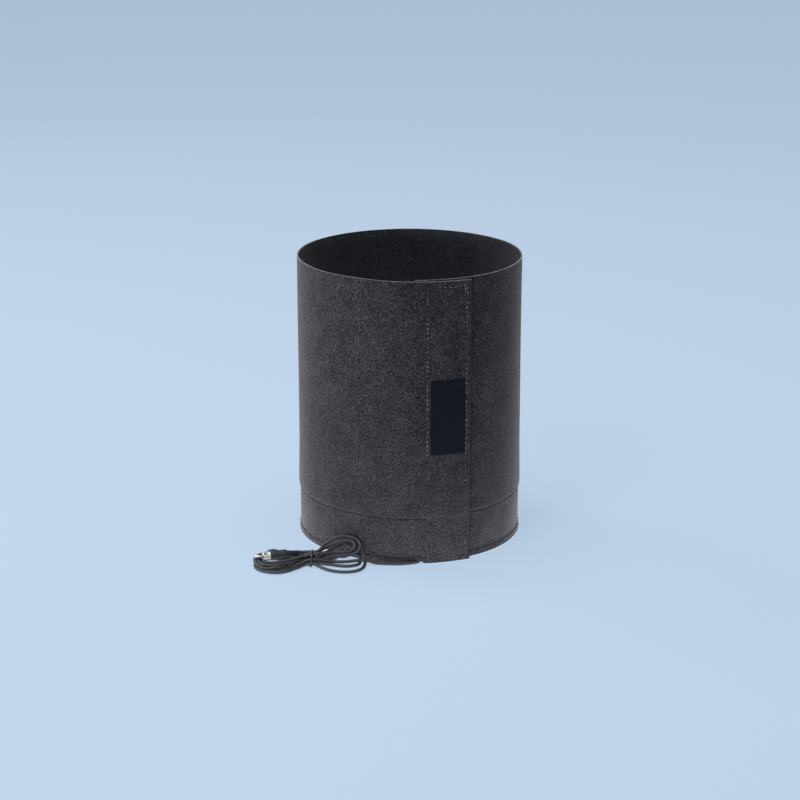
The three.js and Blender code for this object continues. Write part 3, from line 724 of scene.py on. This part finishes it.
def turned(name, profile, slot, material, node, bevel=0.15):
    """A profile of (along, radius) points turned about the plug's axis."""
    bm = bmesh.new()
    verts = [bm.verts.new((along, 0, radius)) for along, radius in profile]
    edges = [bm.edges.new(pair) for pair in zip(verts, verts[1:])]
    bmesh.ops.spin(
        bm, geom=verts + edges, cent=(0, 0, 0), axis=(1, 0, 0), angle=2 * math.pi,
        steps=TURNED_STEPS, use_merge=True, use_duplicate=False,
    )
    bmesh.ops.remove_doubles(bm, verts=bm.verts, dist=1e-4)
    bmesh.ops.recalc_face_normals(bm, faces=bm.faces)
    bm.transform(plug_place)
    piece = new_object(name, mesh_from(bm, name), slot, material)
    if bevel:
        round_edges(piece, bevel, angle=35)
    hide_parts(node)
    return piece


boot_profile = [(0, 0), (0, 1.85)]
for rib in range(5):
    start, radius = rib * BOOT_LENGTH / 5, 2.2 + 0.7 * rib / 4
    boot_profile += [(start + 0.55, radius - 0.5), (start + 0.8, radius), (start + 1.85, radius),
                     (start + 2.04, radius - 0.5)]
boot_profile += [(BOOT_LENGTH - 0.1, 2.6), (BOOT_LENGTH - 0.1, 0)]
boot = turned("ribbed_boot", boot_profile, "plug_body", moulded, "plug_boot", bevel=0.12)

grip = turned("moulded_grip", [
    (BOOT_LENGTH, 0), (BOOT_LENGTH, 2.9), (12.2, 3.3), (NECK_END, 3.3), (NECK_END, 4.0),
    (NECK_END + 0.6, 4.6), (GRIP_MIDDLE - 0.4, 4.6), (GRIP_MIDDLE, 4.1),
    (GRIP_MIDDLE + 0.7, 4.1), (GRIP_MIDDLE + 1.1, 4.6), (GRIP_END - 0.6, 4.6), (GRIP_END, 4.1),
    (GRIP_END - 2.7, 4.1), (GRIP_END - 2.7, 0),
], "plug_body", moulded, "plug_grip")

disc = turned("pale_insulator", [
    (GRIP_END - 2.4, 1.9), (GRIP_END - 2.4, 3.4), (GRIP_END + 0.6, 3.4), (GRIP_END + 0.6, 1.9),
    (GRIP_END - 2.4, 1.9),
], "plug_insulator", pale_disc, "plug_insulator", bevel=0.1)

pin_nose = [(SHELL_MOUTH + 6.6 + 1.6 * math.sin(t * math.pi / 16), 1.6 * math.cos(t * math.pi / 16))
            for t in range(9)]
pin = turned("centre_pin", [(GRIP_END - 2.4, 0), (GRIP_END - 2.4, 1.6)] + pin_nose,
             "plug_metal", plating, "plug_pin", bevel=0)

# Ground shell: a thin turned skin, slotted from its mouth, then given its wall
shell_rows = [(GRIP_END - 2.4, 4.1), (GRIP_END, 4.15), (SHELL_MOUTH - 6, 4.2),
              (SHELL_MOUTH - 1.6, 4.1), (SHELL_MOUTH - 0.9, 4.45), (SHELL_MOUTH, 4.2)]
SHELL_STEPS = 56
bm = bmesh.new()
verts = [bm.verts.new((along, 0, radius)) for along, radius in shell_rows]
edges = [bm.edges.new(pair) for pair in zip(verts, verts[1:])]
bmesh.ops.spin(
    bm, geom=verts + edges, cent=(0, 0, 0), axis=(1, 0, 0), angle=2 * math.pi, steps=SHELL_STEPS,
    use_merge=True, use_duplicate=False,
)
slot_faces = []
for face in bm.faces:
    middle = face.calc_center_median()
    turn = math.degrees(math.atan2(middle.y, middle.z)) % 90
    if middle.x > SHELL_MOUTH - 6 and abs(turn - 45) < 7:
        slot_faces.append(face)
bmesh.ops.delete(bm, geom=slot_faces, context="FACES")
bmesh.ops.recalc_face_normals(bm, faces=bm.faces)
outward = sum(f.normal.dot(f.calc_center_median() * Vector((0, 1, 1))) for f in bm.faces)
if outward < 0:
    bmesh.ops.reverse_faces(bm, faces=bm.faces)
bm.transform(plug_place)
ground_shell = new_object("ground_shell", mesh_from(bm, "ground_shell"), "plug_metal", plating)
add_modifier(ground_shell, "SOLIDIFY", thickness=0.5 * MM, offset=-1)
round_edges(ground_shell, 0.1, angle=50)
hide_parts("plug_ground_shell")


# The tie: one turn of coated wire, its ends twisted together in front
def wire_mesh(name, points, diameter, material, slot):
    curve = cord_curve(name + "_line", points, diameter, material, slot)
    graph = bpy.context.evaluated_depsgraph_get()
    mesh = bpy.data.meshes.new_from_object(curve.evaluated_get(graph))
    bpy.data.objects.remove(curve)
    mesh.name = name
    return new_object(name, mesh, slot)


TIE_X = -102.6
tie_ring = [
    (-132.6, 2.2), (-131.4, 0.9), (-122, 0.62), (-112, 0.8), (-110.4, 2.4), (-110.9, 6.5),
    (-112.4, 11.0), (-115, 12.0), (-121.5, 12.1), (-126.4, 10.6), (-130.4, 6.9), (-132.6, 3.4),
]
tie_points = [Vector((TIE_X + 0.35 * math.sin(i), y, z)) * MM for i, (y, z) in enumerate(tie_ring)]
twist = []
for i in range(10):
    turn = i * 1.15
    twist.append(Vector((
        TIE_X - 0.15 * i + 0.85 * math.cos(turn), -133.0 - 0.38 * i, 2.2 + 0.85 * math.sin(turn),
    )) * MM)
TIE_WIRE = 1.3
tie = wire_mesh("wire_tie", tie_points + twist, TIE_WIRE, tie_coat, "tie")
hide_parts("cord_tie")

# Floor and soft studio light
bm = bmesh.new()
FLOOR_REACH = 9
FLOOR_DROP = 0.0004
bmesh.ops.create_grid(bm, x_segments=1, y_segments=1, size=FLOOR_REACH)
floor_data = mesh_from(bm, "floor")
floor = bpy.data.objects.new("floor", floor_data)
floor.location = (0, 0, -FLOOR_DROP)
scene.collection.objects.link(floor)
floor_material, n, shader = new_material("pale_floor", Roughness=0.9, Specular_IOR_Level=0.1)
# What shows of the floor is pale blue, part its own light and part what the lamps give it, so that
# it keeps the shadows. Other rays meet a near white floor that glows round the shield's foot.
BACKDROP = (0.60, 0.74, 0.92, 1)
FLOOR_COLOUR = (0.27, 0.34, 0.43, 1)
FLOOR_SHINE = (0.38, 0.48, 0.60, 1)
FLOOR_UNSEEN = (0.85, 0.84, 0.83, 1)
GLOW_CENTRE = (0, 0, 0)
GLOW = 2.1
straight = n.seen_ray()
away = n.add("ShaderNodeVectorMath", {0: n.coordinates(), 1: GLOW_CENTRE}, operation="DISTANCE")
glow = n.spread(away.outputs["Value"], 0.1, 0.4, 1.0, 0.0)
glow = n.blend(glow, (0, 0, 0, 1), (GLOW, GLOW, GLOW, 1))
n.feed(n.blend(straight, FLOOR_UNSEEN, FLOOR_COLOUR), shader["Base Color"])
n.feed(n.blend(straight, glow, FLOOR_SHINE), shader["Emission Color"])
shader["Emission Strength"].default_value = 1.0
floor_data.materials.append(floor_material)


def soft_lamp(name, place, target, size, power):
    data = bpy.data.lights.new(name, "AREA")
    data.shape = "RECTANGLE"
    data.size, data.size_y = size
    data.energy = power
    lamp = bpy.data.objects.new(name, data)
    lamp.location = place
    lamp.rotation_euler = (Vector(target) - Vector(place)).to_track_quat("-Z", "Y").to_euler()
    scene.collection.objects.link(lamp)


soft_lamp("key", (-1.4, -2.0, 2.2), (0, 0, 0.1), (1.2, 1.2), 14)
soft_lamp("left", (-2.6, -0.5, 0.4), (0, 0, 0.12), (1.2, 0.7), 20)
soft_lamp("rim", (-2.0, 1.2, 1.8), (0, 0, 0.15), (1.0, 1.0), 10)
soft_lamp("overhead", (0, 0, 2.8), (0, 0.001, 0), (2.0, 2.0), 30)

world = bpy.data.worlds.new("studio")
scene.world = world
world.use_nodes = True
n = Nodes(world.node_tree)
background = world.node_tree.nodes["Background"]
n.feed(n.blend(n.seen_ray(), (0.015, 0.015, 0.016, 1), BACKDROP), background.inputs["Color"])

bpy.context.view_layer.update()
